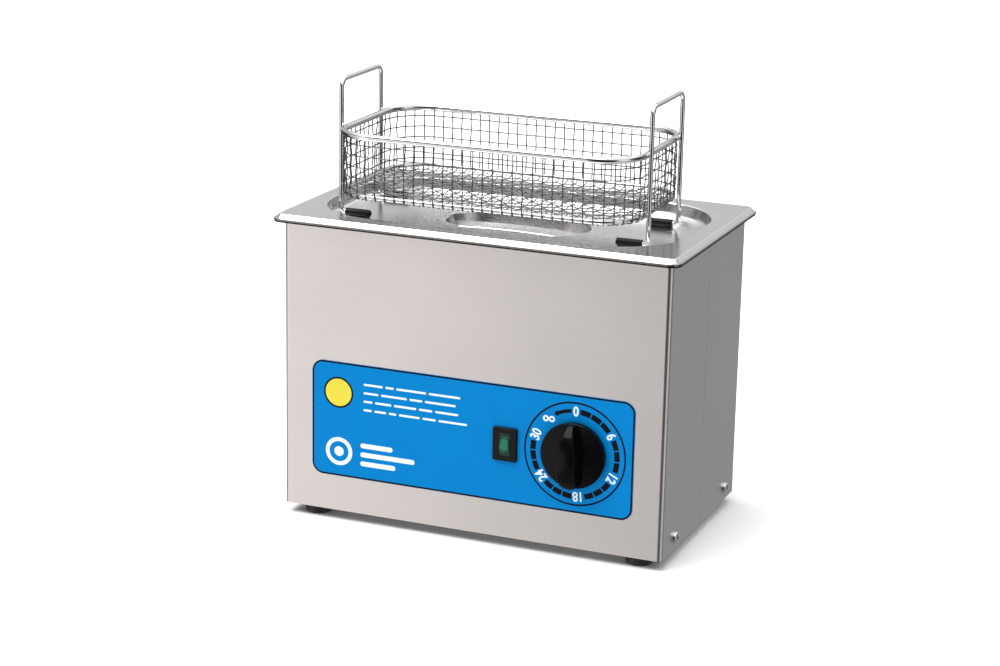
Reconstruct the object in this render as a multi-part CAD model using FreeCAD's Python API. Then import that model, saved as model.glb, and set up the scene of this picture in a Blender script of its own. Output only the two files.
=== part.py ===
import FreeCAD, Part
import math
import os

from FreeCAD import Placement, Rotation, Vector

os.makedirs("parts", exist_ok=True)

# Bench-top ultrasonic cleaner with a quarter-size gastronorm tank, a lift-off lid and a wire basket
# that stands on the lid. Millimetres, +Z up. Every piece is drawn about the vertical middle of the
# tank and moved back by casing_offset on export, so that the origin is the middle of the footprint.

# Fits and fasteners
touch = 0.02               # gap between neighbours that are welded or pressed together
hole_clearance = 0.3
screw_play = 0.2           # radial, round a screw in a plain hole
side_screw = 4.0
foot_screw = 4.0
board_screw = 3.0
inlet_screw = 3.0
stud = 4.0

# Casing
foot_drop = 6.5            # the feet lift the casing's lower edge this far off the bench
casing_length = 253.3
casing_width = 146.0
casing_height = 184.5
casing_sheet = 1.0
casing_bend = 3.0
seam_gap = 0.2             # hairline between the front and rear halves, at mid depth
base_recess = 1.0          # the base plate sits this far up inside the casing
base_sheet = 1.2
base_flange = 15.0
base_fit = 0.2
side_screw_y = (-49.0, 51.7)
side_screw_height = 8.2    # above the casing's lower edge
weld_y = 12.7              # spot welds either side of the seam
weld_depths = (8.0, 80.9, 158.7)  # below the casing's top edge
weld_ball = 9.0            # radius of the ball that leaves a weld's dimple
weld_dent = 0.22
strip_width = 40.0
strip_fit = 0.05
foot_radius = 8.8
foot_x = 108.5
foot_y = 61.0
foot_recess = 3.6
foot_recess_radius = 4.6
earth_at = (-104.0, 24.0)
tag_height = 3.2           # the earth tag lies on a nut of this height
tag_sheet = 0.8
tag_reach = 10.5

# Tank and its rim, gastronorm 1/4 by 100 deep
rim_length = 265.0
rim_width = 162.0
rim_corner = 7.0
rim_sheet = 1.2
gasket = 0.9
gasket_inset = 0.3         # in from the rim's outer edge, where it shows as a dark line
tank_mouth = (244.0, 138.6, 46.0)
tank_floor = (226.0, 121.0, 37.0)
tank_depth = 100.0
tank_sheet = 1.0
tank_floor_round = 9.0

# Lid
lid_sheet = 0.8
lid_seat = 0.05
lid_skirt = (262.4, 159.4, 5.7)
lid_top = (258.3, 155.3, 3.6)
lid_rise = 3.9             # lid's top face above the rim's underside
pan_mouth = (236.5, 129.0, 45.0)
pan_floor = (231.5, 123.0, 42.3)
pan_depth = 8.0
pan_round = 3.5
well_mouth = (95.0, 51.0)
well_floor = (86.0, 42.0)
well_depth = 15.0
well_round = 5.0
well_lip = 2.5
strap_width = 16.0
strap_sheet = 1.5
strap_end_drop = 5.3       # strap's top face below the panel at its ends
strap_crown_drop = 3.6     # and in the middle
strap_edge = 0.4

# Basket, in its own axes before it is turned and set down
basket_x = -6.3
basket_y = -0.1
basket_yaw = 0.9
sleeve_diameter = 4.9
sleeve_length = 17.0
sleeve_gap = 3.4           # sleeve's open end, in from the leg's middle
leg_wire = 3.0
leg_x = 101.6
leg_y = 30.0
leg_foot_bend = 3.2
leg_top_bend = 6.0
handle_rise = 83.6         # handle's top wire above the foot wires
rim_wire = 4.2
rim_rise = 54.0            # rim wire above the foot wires
basket_corner = 27.0
base_wire = 3.0
base_rise = 16.2
mesh_wall = 0.9
basket_half_depth = 55.6

# Control panel
label_length = 214.0
label_height = 74.8
label_corner = 7.5
label_sheet = 0.4
panel_row = 60.5           # label, lamp and dial middles above the casing's lower edge
lamp_x = 24.1
bezel_size = (15.9, 21.3)
bezel_proud = 1.8
lamp_hole = (13.0, 19.0)
lens_size = (7.0, 14.4)
lens_proud = 2.3
lamp_depth = 20.0
dial_x = 69.3
knob_diameter = 41.4
knob_height = 18.0
knob_skirt = 4.6
knob_gap = 0.4
bush_diameter = 10.0
bush_reach = 3.0
bush_nut = (14.0, 2.4)
shaft_diameter = 6.0
shaft_clearance = 0.05
shaft_reach = 14.0         # past the front wall
shaft_flat = 1.0
shaft_flat_length = 11.0
timer_size = (44.0, 32.0, 44.0)
timer_floor = 8.0          # solid behind the spindle's bore
timer_tab_at = (10.0, 9.0)

# Transducers
stack_x = 55.0
horn_face = 22.5
horn_neck = 19.0
horn_height = 26.0
ring_radius = 19.0
ring_bore = 7.0
ring_height = 5.0
electrode = 0.3
back_mass_height = 18.0
stack_bolt = 5.0           # radii of the bolt and its head
stack_bolt_head = 8.0
stack_head_height = 6.0
horn_band = 4.0            # height of the horn's straight part, against the tank
horn_tapped = 16.0
electrode_tab = (4.0, 8.0)
electrode_step = 6.0       # sideways, from one electrode's tab to the next

# Circuit board, standing on the base plate
board_size = (160.0, 54.0, 1.6)
board_middle = (25.0, 35.0)
standoff_height = 8.0
board_inset = 5.0
core_height = 42.0
core_depth = 15.0
core_limb = 12.0
window_width = 9.0
window_height = 29.0
sink_middle = (12.0, 17.0)
sink_length = 54.0
sink_base = 3.0
sink_height = 34.0
sink_fin = 8.0
sink_fins = 9
block_ways = 5
block_pitch = 7.0
block_middle = (-68.0, -2.0)
block_size = (11.0, block_ways * block_pitch, 13.0)

# Mains inlet, in the rear wall
inlet_x = -88.0
inlet_row = 38.5           # above the casing's lower edge
inlet_flange = (50.0, 33.0, 3.0)
inlet_body_size = (28.0, 24.0, 27.0)
inlet_screw_pitch = 40.0
socket_middle = 4.0
socket_size = (24.6, 16.8)
socket_depth = 17.0
drawer_middle = -9.6
drawer_size = (23.0, 6.4)
drawer_depth = 20.0
inlet_pin = (4.0, 2.0)
pin_spread = 7.0
pin_rise = 2.0             # live and neutral below the socket's middle, earth above it
pin_reach = 9.0            # behind the inlet's body

# Spade tabs and wiring
spade = (6.4, 0.8)
lamp_spade = (0.8, 5.0)
lamp_tab_x = 3.0
tab_reach = 8.0
tab_root = 2.0             # how deep a tab is set in its moulding
lead = 2.4
lead_bend = 4.5
lead_end = 0.2             # a wire's end stops this far from what it joins

# Levels worked out from the sizes above
half_length = casing_length / 2
half_width = casing_width / 2
case_bottom = foot_drop
case_top = case_bottom + casing_height
rim_bottom = case_top + gasket
rim_top = rim_bottom + rim_sheet
lid_bottom = rim_top + lid_seat
lid_face = rim_bottom + lid_rise
panel_face = lid_face - pan_depth
base_bottom = case_bottom + base_recess
base_top = base_bottom + base_sheet
front = -half_width
rear = half_width
label_face = front - label_sheet
knob_base = label_face - knob_gap
knob_front = knob_base - knob_height
panel_z = case_bottom + panel_row
foot_wire_z = panel_face + lid_seat + sleeve_diameter / 2
tank_floor_z = rim_top - tank_depth
tank_under_z = tank_floor_z - tank_sheet
board_bottom = base_top + standoff_height
board_top = board_bottom + board_size[2]
casing_offset = -(knob_front + rim_width / 2) / 2
rim_half_length = leg_x - leg_wire / 2 - touch - rim_wire / 2
base_inset = base_wire / 2 + mesh_wall / 2 + touch
inlet_z = case_bottom + inlet_row
floor_z = base_top + lead / 2 + 0.3

X = Vector(1, 0, 0)
Y = Vector(0, 1, 0)
Z = Vector(0, 0, 1)


def export(name, *shapes):
    """Write one node, moved back so that the whole object is centred on the origin."""
    group = Part.makeCompound([shape.copy() for shape in shapes])
    group.translate(Vector(0, casing_offset, 0))
    solids = group.Solids
    bad = [s for s in solids if not s.isValid() or s.Volume <= 0]
    if bad or not solids:
        raise RuntimeError(f"{name} has a solid that is not sound")
    group.exportStep(f"parts/{name}.step")


def rounded_wire(length, width, radius, z):
    """A closed rectangle with round corners, or with round ends where the radius is half the width."""
    flat_x = length / 2 - radius
    flat_y = width / 2 - radius
    arcs = []
    for turn, (sx, sy) in enumerate(((1, 1), (-1, 1), (-1, -1), (1, -1))):
        middle = Vector(sx * flat_x, sy * flat_y, z)
        arcs.append(Part.makeCircle(radius, middle, Z, 90 * turn, 90 * turn + 90))
    edges = []
    for arc, following in zip(arcs, arcs[1:] + arcs[:1]):
        edges.append(arc)
        a = arc.valueAt(arc.LastParameter)
        b = following.valueAt(following.FirstParameter)
        if a.distanceToPoint(b) > 1e-6:
            edges.append(Part.makeLine(a, b))
    return Part.Wire(edges)


def prism(length, width, radius, low, high):
    """An upright block with rounded vertical corners."""
    return Part.Face(rounded_wire(length, width, radius, low)).extrude(Vector(0, 0, high - low))


def frustum(lower, low, upper, high):
    """A drafted block between two rounded outlines, each (length, width, corner radius)."""
    return Part.makeLoft([rounded_wire(*lower, low), rounded_wire(*upper, high)], True, True)


def grown(outline, by):
    return (outline[0] + 2 * by, outline[1] + 2 * by, outline[2] + by)


def outline_at(lower, low, upper, high, z):
    """The outline of a drafted block at height z, on the same slope."""
    t = (z - low) / (high - low)
    return tuple(a + (b - a) * t for a, b in zip(lower, upper))


def level_edges(shape, z, reach=None):
    """The edges lying at height z, and no further out than reach along X when it is given."""
    found = []
    for edge in shape.Edges:
        box = edge.BoundBox
        if abs(box.ZMin - z) < 0.01 and abs(box.ZMax - z) < 0.01:
            if reach is None or max(abs(box.XMin), abs(box.XMax)) < reach:
                found.append(edge)
    return found


def block(x, y, z, low=(0, 0, 0)):
    return Part.makeBox(x, y, z, Vector(*low))


def centred_block(x, y, z, middle):
    """A box by its size, the middle of its plan and its lowest height."""
    return block(x, y, z, (middle[0] - x / 2, middle[1] - y / 2, middle[2]))


def rod(radius, start, end):
    span = Vector(*end) - Vector(*start)
    return Part.makeCylinder(radius, span.Length, Vector(*start), span)


def moved_by(shape, position, rotation):
    """A copy turned about the origin and then shifted, on top of any earlier move."""
    moved = shape.copy()
    moved.Placement = Placement(Vector(*position), rotation).multiply(shape.Placement)
    return moved


def put(shape, position, direction=Z):
    """Place a shape drawn upright at the origin so that its +Z points along direction."""
    return moved_by(shape, position, Rotation(Z, direction))


def bent_path(points, bends):
    """Straight runs joined by tangent arcs, with one radius for each corner."""
    points = [Vector(*p) for p in points]
    edges = []
    last = points[0]
    for before, corner, after, bend in zip(points, points[1:], points[2:], bends):
        arriving = (corner - before).normalize()
        leaving = (after - corner).normalize()
        half = arriving.getAngle(leaving) / 2
        reach = bend * math.tan(half)
        start = corner - arriving * reach
        end = corner + leaving * reach
        inward = (leaving - arriving).normalize()
        crown = corner + inward * (bend / math.cos(half) - bend)
        edges.append(Part.makeLine(last, start))
        edges.append(Part.Arc(start, crown, end).toShape())
        last = end
    edges.append(Part.makeLine(last, points[-1]))
    return Part.Wire(edges)


def wire_rod(points, bends, diameter):
    """A bent round wire."""
    path = bent_path(points, bends)
    heading = Vector(*points[1]) - Vector(*points[0])
    section = Part.Wire(Part.makeCircle(diameter / 2, Vector(*points[0]), heading))
    return path.makePipeShell([section], True, False)


def wire_ring(length, width, radius, z, diameter):
    """A round wire bent into a closed ring with rounded corners."""
    path = rounded_wire(length, width, radius, z)
    first = path.OrderedEdges[0]
    start = first.valueAt(first.FirstParameter)
    section = Part.Wire(Part.makeCircle(diameter / 2, start, first.tangentAt(first.FirstParameter)))
    return path.makePipeShell([section], True, False)


def screw(shank, length, head_radius, head_height):
    """A domed cross-head screw with its head on the origin plane and its shank pointing down."""
    head = Part.makeCylinder(head_radius, head_height)
    head = head.makeFillet(head_height * 0.6, level_edges(head, head_height))
    arm = head_radius * 1.1
    slot = head_radius * 0.24
    depth = head_height * 0.55
    for x, y in ((arm, slot), (slot, arm)):
        head = head.cut(centred_block(x, y, depth + 1, (0, 0, head_height - depth)))
    return head.fuse(Part.makeCylinder(shank / 2, length, Vector(0, 0, 0), -Z)).removeSplitter()


def hexagon_bar(across_flats, height):
    """A solid hexagonal bar standing on the origin plane."""
    corner = across_flats / math.sqrt(3)
    points = [Vector(corner * math.cos(math.radians(60 * k)), corner * math.sin(math.radians(60 * k)), 0)
              for k in range(7)]
    return Part.Face(Part.makePolygon(points)).extrude(Vector(0, 0, height))


def hexagon(across_flats, height, bore):
    """A hexagonal nut or spacer standing on the origin plane."""
    return hexagon_bar(across_flats, height).cut(Part.makeCylinder(bore / 2, height))


# ---------------------------------------------------------------- casing, base and feet

def corners(x, y):
    return [(sx * x, sy * y) for sx in (-1, 1) for sy in (-1, 1)]


def board_corners():
    reach_x = board_size[0] / 2 - board_inset
    reach_y = board_size[1] / 2 - board_inset
    return [(board_middle[0] + x, board_middle[1] + y) for x, y in corners(reach_x, reach_y)]


def casing_halves():
    """Two folded U-shaped sheets that meet at the middle of each side."""
    outer = prism(casing_length, casing_width, casing_bend, case_bottom, case_top)
    inner = prism(casing_length - 2 * casing_sheet, casing_width - 2 * casing_sheet,
                  casing_bend - casing_sheet, case_bottom - 1, case_top - casing_sheet)
    mouth_margin = 0.9
    mouth = prism(*grown(tank_mouth, tank_sheet + mouth_margin), case_top - 2, case_top + 1)
    shell = outer.cut(inner).cut(mouth)
    lamp = block(lamp_hole[0], 4, lamp_hole[1],
                 (lamp_x - lamp_hole[0] / 2, front - 1, panel_z - lamp_hole[1] / 2))
    bush_hole = (bush_diameter + hole_clearance) / 2
    bush = rod(bush_hole, (dial_x, front - 1, panel_z), (dial_x, front + 3, panel_z))
    inlet = block(inlet_body_size[0] + hole_clearance, 4, inlet_body_size[2] + hole_clearance,
                  (inlet_x - (inlet_body_size[0] + hole_clearance) / 2, rear - 3,
                   inlet_z - (inlet_body_size[2] + hole_clearance) / 2))
    cuts = [lamp, bush, inlet]
    for side in (-1, 1):
        x = inlet_x + side * inlet_screw_pitch / 2
        cuts.append(rod(inlet_screw / 2 + screw_play, (x, rear - 3, inlet_z), (x, rear + 1, inlet_z)))
        wall = side * half_length
        for y in side_screw_y:
            z = case_bottom + side_screw_height
            cuts.append(rod(side_screw / 2 + screw_play, (wall - 3, y, z), (wall + 3, y, z)))
        for y in (-weld_y, weld_y):
            for depth in weld_depths:
                dimple = Part.makeSphere(weld_ball, Vector(wall + side * (weld_ball - weld_dent), y,
                                                           case_top - depth))
                cuts.append(dimple)
    shell = shell.cut(cuts)
    span = 2 * casing_length
    halves = []
    for low in (-span - seam_gap / 2, seam_gap / 2):
        halves.append(shell.common(block(span, span, span, (-span / 2, low, 0))))
    return halves


def seam_strips():
    """A flat joining strip behind each seam, between the base flange and the top fold."""
    low = base_bottom + base_flange + 2
    high = case_top - casing_sheet - 1
    reach = half_length - casing_sheet - strip_fit
    right = block(casing_sheet, strip_width, high - low, (reach - casing_sheet, -strip_width / 2, low))
    return [right, right.mirror(Vector(0, 0, 0), X)]


def base_plate():
    """A flat tray with an upturned flange down each side, which the side screws hold."""
    length = casing_length - 2 * casing_sheet - 2 * base_fit
    width = casing_width - 2 * casing_sheet - 2 * base_fit
    outer = prism(length, width, casing_bend, base_bottom, base_bottom + base_flange)
    room = block(length - 2 * base_sheet, width + 2, base_flange,
                 (-length / 2 + base_sheet, -width / 2 - 1, base_top))
    room = room.makeFillet(0.8, [e for e in level_edges(room, base_top) if e.BoundBox.YLength > 1])
    plate = outer.cut(room)
    holes = []
    for x, y in corners(foot_x, foot_y):
        holes.append(rod(foot_screw / 2 + screw_play, (x, y, 0), (x, y, base_top + 1)))
    for x, y in board_corners():
        holes.append(rod(board_screw / 2 + screw_play, (x, y, 0), (x, y, base_top + 1)))
    holes.append(rod(stud / 2 + touch, (*earth_at, 0), (*earth_at, base_top + 1)))
    for side in (-1, 1):
        wall = side * half_length
        for y in side_screw_y:
            z = case_bottom + side_screw_height
            holes.append(rod(side_screw / 2 + screw_play, (wall - 5, y, z), (wall + 5, y, z)))
    return plate.cut(holes)


def side_fixings():
    """Domed screws through the casing sides, with nuts inside the base plate's flanges."""
    screws = []
    nuts = []
    z = case_bottom + side_screw_height
    nut_height = 3.0
    flange_face = half_length - casing_sheet - base_fit - base_sheet
    for side in (-1, 1):
        for y in side_screw_y:
            outward = Vector(side, 0, 0)
            screws.append(put(screw(side_screw, 7.0, 3.5, 2.2), (side * half_length, y, z), outward))
            nut = hexagon(7.0, nut_height, side_screw + 2 * touch)
            nuts.append(put(nut, (side * (flange_face - nut_height), y, z), outward))
    return screws, nuts


def feet_and_fixings():
    """Round rubber feet, each held by a screw from below and a nut on the base plate."""
    feet = []
    screws = []
    nuts = []
    foot = Part.makeCone(foot_radius - 0.6, foot_radius, base_bottom)
    foot = foot.makeFillet(1.0, level_edges(foot, 0))
    foot = foot.cut(Part.makeCylinder(foot_screw / 2 + touch, base_bottom))
    foot = foot.cut(Part.makeCylinder(foot_recess_radius, foot_recess))
    for x, y in corners(foot_x, foot_y):
        feet.append(put(foot, (x, y, 0)))
        screws.append(put(screw(foot_screw, base_bottom - foot_recess + base_sheet + 5, 3.9, 2.4),
                          (x, y, foot_recess), -Z))
        nuts.append(put(hexagon(7.0, 3.2, foot_screw + 2 * touch), (x, y, base_top)))
    return feet, screws, nuts


# ---------------------------------------------------------------- tank, gasket and lid


def tank():
    """A deep drawn pan hung from a flat rim."""
    plate = prism(rim_length, rim_width, rim_corner, rim_bottom, rim_top)
    outer_floor = grown(tank_floor, tank_sheet)
    outer = frustum(outer_floor, tank_under_z, grown(tank_mouth, tank_sheet), rim_top)
    outer = outer.makeFillet(tank_floor_round + tank_sheet, level_edges(outer, tank_under_z))
    over = outline_at(tank_floor, tank_floor_z, tank_mouth, rim_top, rim_top + 1)
    inner = frustum(tank_floor, tank_floor_z, over, rim_top + 1)
    inner = inner.makeFillet(tank_floor_round, level_edges(inner, tank_floor_z))
    return plate.fuse(outer).removeSplitter().cut(inner)


def tank_gasket():
    """A flat seal stuck under the whole rim, that rests on the casing's top fold."""
    seal = prism(*grown((rim_length, rim_width, rim_corner), -gasket_inset), case_top, rim_bottom)
    return seal.cut(prism(*grown(tank_mouth, tank_sheet + 0.3), case_top - 1, rim_bottom + 1))


def lid():
    """A pressed lid: bevelled border, sunk panel, and a round-ended finger well in the middle."""
    skirt = frustum(lid_skirt, lid_bottom, lid_top, lid_face)
    skirt = skirt.makeFillet(0.7, level_edges(skirt, lid_face))
    hollow_low = outline_at(lid_skirt, lid_bottom, lid_top, lid_face, lid_bottom - 1)
    hollow_top = outline_at(lid_skirt, lid_bottom, lid_top, lid_face, lid_face - lid_sheet)
    hollow = frustum(grown(hollow_low, -lid_sheet), lid_bottom - 1,
                     grown(hollow_top, -lid_sheet), lid_face - lid_sheet)
    border = skirt.cut(hollow)

    pan_outer = frustum(grown(pan_floor, lid_sheet), panel_face - lid_sheet,
                        grown(pan_mouth, lid_sheet), lid_face)
    pan_outer = pan_outer.makeFillet(pan_round + lid_sheet, level_edges(pan_outer, panel_face - lid_sheet))
    pan_over = outline_at(pan_floor, panel_face, pan_mouth, lid_face, lid_face + 1)
    pan_inner = frustum(pan_floor, panel_face, pan_over, lid_face + 1)
    pan_inner = pan_inner.makeFillet(pan_round, level_edges(pan_inner, panel_face))

    mouth = (*well_mouth, well_mouth[1] / 2)
    floor = (*well_floor, well_floor[1] / 2)
    bottom = panel_face - well_depth
    well_outer = frustum(grown(floor, lid_sheet), bottom - lid_sheet,
                         grown(mouth, lid_sheet), panel_face - lid_sheet / 2)
    well_outer = well_outer.makeFillet(well_round + lid_sheet, level_edges(well_outer, bottom - lid_sheet))

    body = border.fuse([pan_outer, well_outer]).removeSplitter()
    room = well_room(0)
    room = room.makeFillet(well_round, level_edges(room, bottom))
    body = body.cut(pan_inner.fuse(room))
    body = body.makeFillet(1.2, level_edges(body, lid_face, pan_mouth[0] / 2 + 0.1))
    return body.makeFillet(well_lip, level_edges(body, panel_face, well_mouth[0] / 2 + 0.1))


def well_room(slack):
    """The finger well's hollow, drawn in by slack and carried on above the panel."""
    mouth = (*well_mouth, well_mouth[1] / 2)
    floor = (*well_floor, well_floor[1] / 2)
    bottom = panel_face - well_depth
    over = outline_at(floor, bottom, mouth, panel_face, panel_face + 1)
    return frustum(grown(floor, -slack), bottom, grown(over, -slack), panel_face + 1)


def lid_handle():
    """An arched strap across the finger well, trimmed and welded to the well's end walls."""
    half = well_mouth[0] / 2
    faces = []
    for drop in (0, strap_sheet):
        end = panel_face - strap_end_drop - drop
        crown = panel_face - strap_crown_drop - drop
        faces.append([Vector(-half, 0, end), Vector(0, 0, crown), Vector(half, 0, end)])
    top, under = faces
    outline = Part.Wire([
        Part.Arc(*top).toShape(),
        Part.makeLine(top[2], under[2]),
        Part.Arc(*reversed(under)).toShape(),
        Part.makeLine(under[0], top[0]),
    ])
    strap = Part.Face(outline).extrude(Vector(0, strap_width, 0))
    strap.translate(Vector(0, -strap_width / 2, 0))
    strap = strap.common(well_room(touch))
    return strap.makeChamfer(strap_edge, [e for e in strap.Edges if e.BoundBox.XLength > half])


# ---------------------------------------------------------------- basket


def set_down(shape):
    """Turn a basket piece and stand it on the lid's sunk panel."""
    return moved_by(shape, (basket_x, basket_y, foot_wire_z), Rotation(Z, basket_yaw))


def basket_ring(inset, rise, wire):
    return wire_ring(2 * (rim_half_length - inset), 2 * (basket_half_depth - inset),
                     basket_corner - inset, rise, wire)


def basket_mesh():
    """The woven tray, as one thin wall of the mesh's outer shape with an open top."""
    outside = (2 * rim_half_length, 2 * basket_half_depth, basket_corner)
    low = base_rise - base_wire / 2 - touch - mesh_wall
    high = rim_rise - rim_wire / 2 - touch
    floor_round = base_wire / 2 + touch
    outer = prism(*grown(outside, mesh_wall / 2), low, high)
    outer = outer.makeFillet(floor_round + mesh_wall, level_edges(outer, low))
    inner = prism(*grown(outside, -mesh_wall / 2), low + mesh_wall, high + 1)
    inner = inner.makeFillet(floor_round, level_edges(inner, low + mesh_wall))
    return outer.cut(inner)


def basket_handle(side):
    """One wire: a tall end loop whose two legs turn in at the bottom to make feet."""
    toe = side * (leg_x - sleeve_gap - sleeve_length + 2)
    x = side * leg_x
    route = [(toe, -leg_y, 0), (x, -leg_y, 0), (x, -leg_y, handle_rise),
             (x, leg_y, handle_rise), (x, leg_y, 0), (toe, leg_y, 0)]
    return wire_rod(route, (leg_foot_bend, leg_top_bend, leg_top_bend, leg_foot_bend), leg_wire)


def foot_sleeves():
    """A blind rubber sleeve pushed over each turned-in foot."""
    tube = Part.makeCylinder(sleeve_diameter / 2, sleeve_length)
    tube = tube.makeFillet(1.6, level_edges(tube, sleeve_length))
    tube = tube.makeFillet(0.4, level_edges(tube, 0))
    tube = tube.cut(Part.makeCylinder(leg_wire / 2 + touch, sleeve_length - 2 + touch))
    sleeves = []
    for side in (-1, 1):
        for y in (-leg_y, leg_y):
            sleeves.append(put(tube, (side * (leg_x - sleeve_gap), y, 0), Vector(-side, 0, 0)))
    return sleeves


# ---------------------------------------------------------------- control panel


def facing_front(shape, x, z, y):
    """Place a piece drawn upright at the origin so that its +Z points out of the front panel."""
    return moved_by(shape, (x, y, z), Rotation(X, 90))


def control_label():
    """A thin printed overlay on the front wall, with holes for the lamp and the timer's bush."""
    sheet = prism(label_length, label_height, label_corner, 0, label_sheet)
    lamp = centred_block(lamp_hole[0], lamp_hole[1], 2, (lamp_x, 0, -1))
    bush = Part.makeCylinder((bush_diameter + hole_clearance) / 2, 2, Vector(dial_x, 0, -1))
    return facing_front(sheet.cut([lamp, bush]), 0, panel_z, front)


def indicator_bezel():
    """A black moulded frame whose housing passes through the front wall."""
    wall = 1.5
    frame = prism(*bezel_size, 1.0, 0, bezel_proud)
    frame = frame.makeFillet(0.6, level_edges(frame, bezel_proud))
    housing = centred_block(lamp_hole[0] - 0.2, lamp_hole[1] - 0.2, lamp_depth, (0, 0, -lamp_depth))
    room = centred_block(lamp_hole[0] - 0.2 - 2 * wall, lamp_hole[1] - 0.2 - 2 * wall, lamp_depth - wall,
                         (0, 0, -lamp_depth + wall))
    window = centred_block(lens_size[0] + 2 * touch, lens_size[1] + 2 * touch, 4, (0, 0, -1))
    tabs = [centred_block(lamp_spade[0] + 0.1, lamp_spade[1] + 0.2, 4, (x, 0, -lamp_depth - 1))
            for x in (-lamp_tab_x, lamp_tab_x)]
    bezel = frame.fuse(housing).removeSplitter().cut([room, window] + tabs)
    return facing_front(bezel, lamp_x, panel_z, label_face)


def indicator_lens():
    """A green window with a raised middle field between two shoulders."""
    lens = centred_block(*lens_size, lens_proud + 1.5, (0, 0, -1.5))
    lens = lens.makeFillet(0.5, level_edges(lens, lens_proud))
    shoulder = lens_size[1] / 4
    step = 0.6
    for side in (-1, 1):
        edge = side * (lens_size[1] / 2 - shoulder / 2)
        lens = lens.cut(centred_block(lens_size[0] + 2, shoulder + 0.01, 2, (0, edge, lens_proud - step)))
    flange = centred_block(lens_size[0] + 1.6, lens_size[1] + 1.0, 0.8, (0, 0, -1.5))
    return facing_front(lens.fuse(flange).removeSplitter(), lamp_x, panel_z, label_face)


def indicator_lamp():
    """A small neon capsule behind the lens, and the two spade tabs of the holder."""
    glass_radius = 2.4
    glass_length = 10.0
    glass = Part.makeCylinder(glass_radius, glass_length, Vector(0, -glass_length / 2, -9), Y)
    glass = glass.makeFillet(2.0, glass.Edges[:1])
    tabs = [centred_block(*lamp_spade, tab_reach + 4, (x, 0, -lamp_depth - tab_reach))
            for x in (-lamp_tab_x, lamp_tab_x)]
    return [facing_front(piece, lamp_x, panel_z, label_face) for piece in [glass] + tabs]


def timer_case():
    """The clockwork timer's box, with the bush that holds it in the front wall."""
    length, depth, height = timer_size
    box = prism(length, height, 3.0, -depth, 0)
    bush = Part.makeCylinder(bush_diameter / 2, casing_sheet + label_sheet + bush_reach)
    bore_radius = shaft_diameter / 2 + shaft_clearance
    bore = Part.makeCylinder(bore_radius, depth + 8, Vector(0, 0, timer_floor - depth))
    body = box.fuse(bush).removeSplitter().cut(bore)
    for x, y in timer_tabs():
        body = body.cut(centred_block(spade[0] + 2 * touch, spade[1] + 2 * touch, tab_root, (x, y, -depth)))
    return facing_front(body, dial_x, panel_z, front + casing_sheet)


def timer_tabs():
    return corners(*timer_tab_at)


def timer_terminals():
    """Four spade tabs on the back of the timer."""
    depth = timer_size[1]
    tabs = [centred_block(*spade, tab_root + tab_reach, (x, y, -depth - tab_reach)) for x, y in timer_tabs()]
    return [facing_front(tab, dial_x, panel_z, front + casing_sheet) for tab in tabs]


def timer_nut():
    """The thin nut that clamps the bush to the front wall, hidden by the knob."""
    nut = hexagon(bush_nut[0], bush_nut[1], bush_diameter + 2 * touch)
    return facing_front(nut, dial_x, panel_z, label_face)


def timer_shaft():
    """The timer's spindle, with a flat at its outer end."""
    tail = timer_size[1] - timer_floor - 0.5
    start = -(casing_sheet + tail)
    spindle = Part.makeCylinder(shaft_diameter / 2, shaft_reach - start, Vector(0, 0, start))
    flat = centred_block(shaft_diameter, shaft_diameter, shaft_flat_length + 1,
                         (0, shaft_flat - shaft_diameter, shaft_reach - shaft_flat_length))
    return facing_front(spindle.cut(flat), dial_x, panel_z, front)


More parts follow.
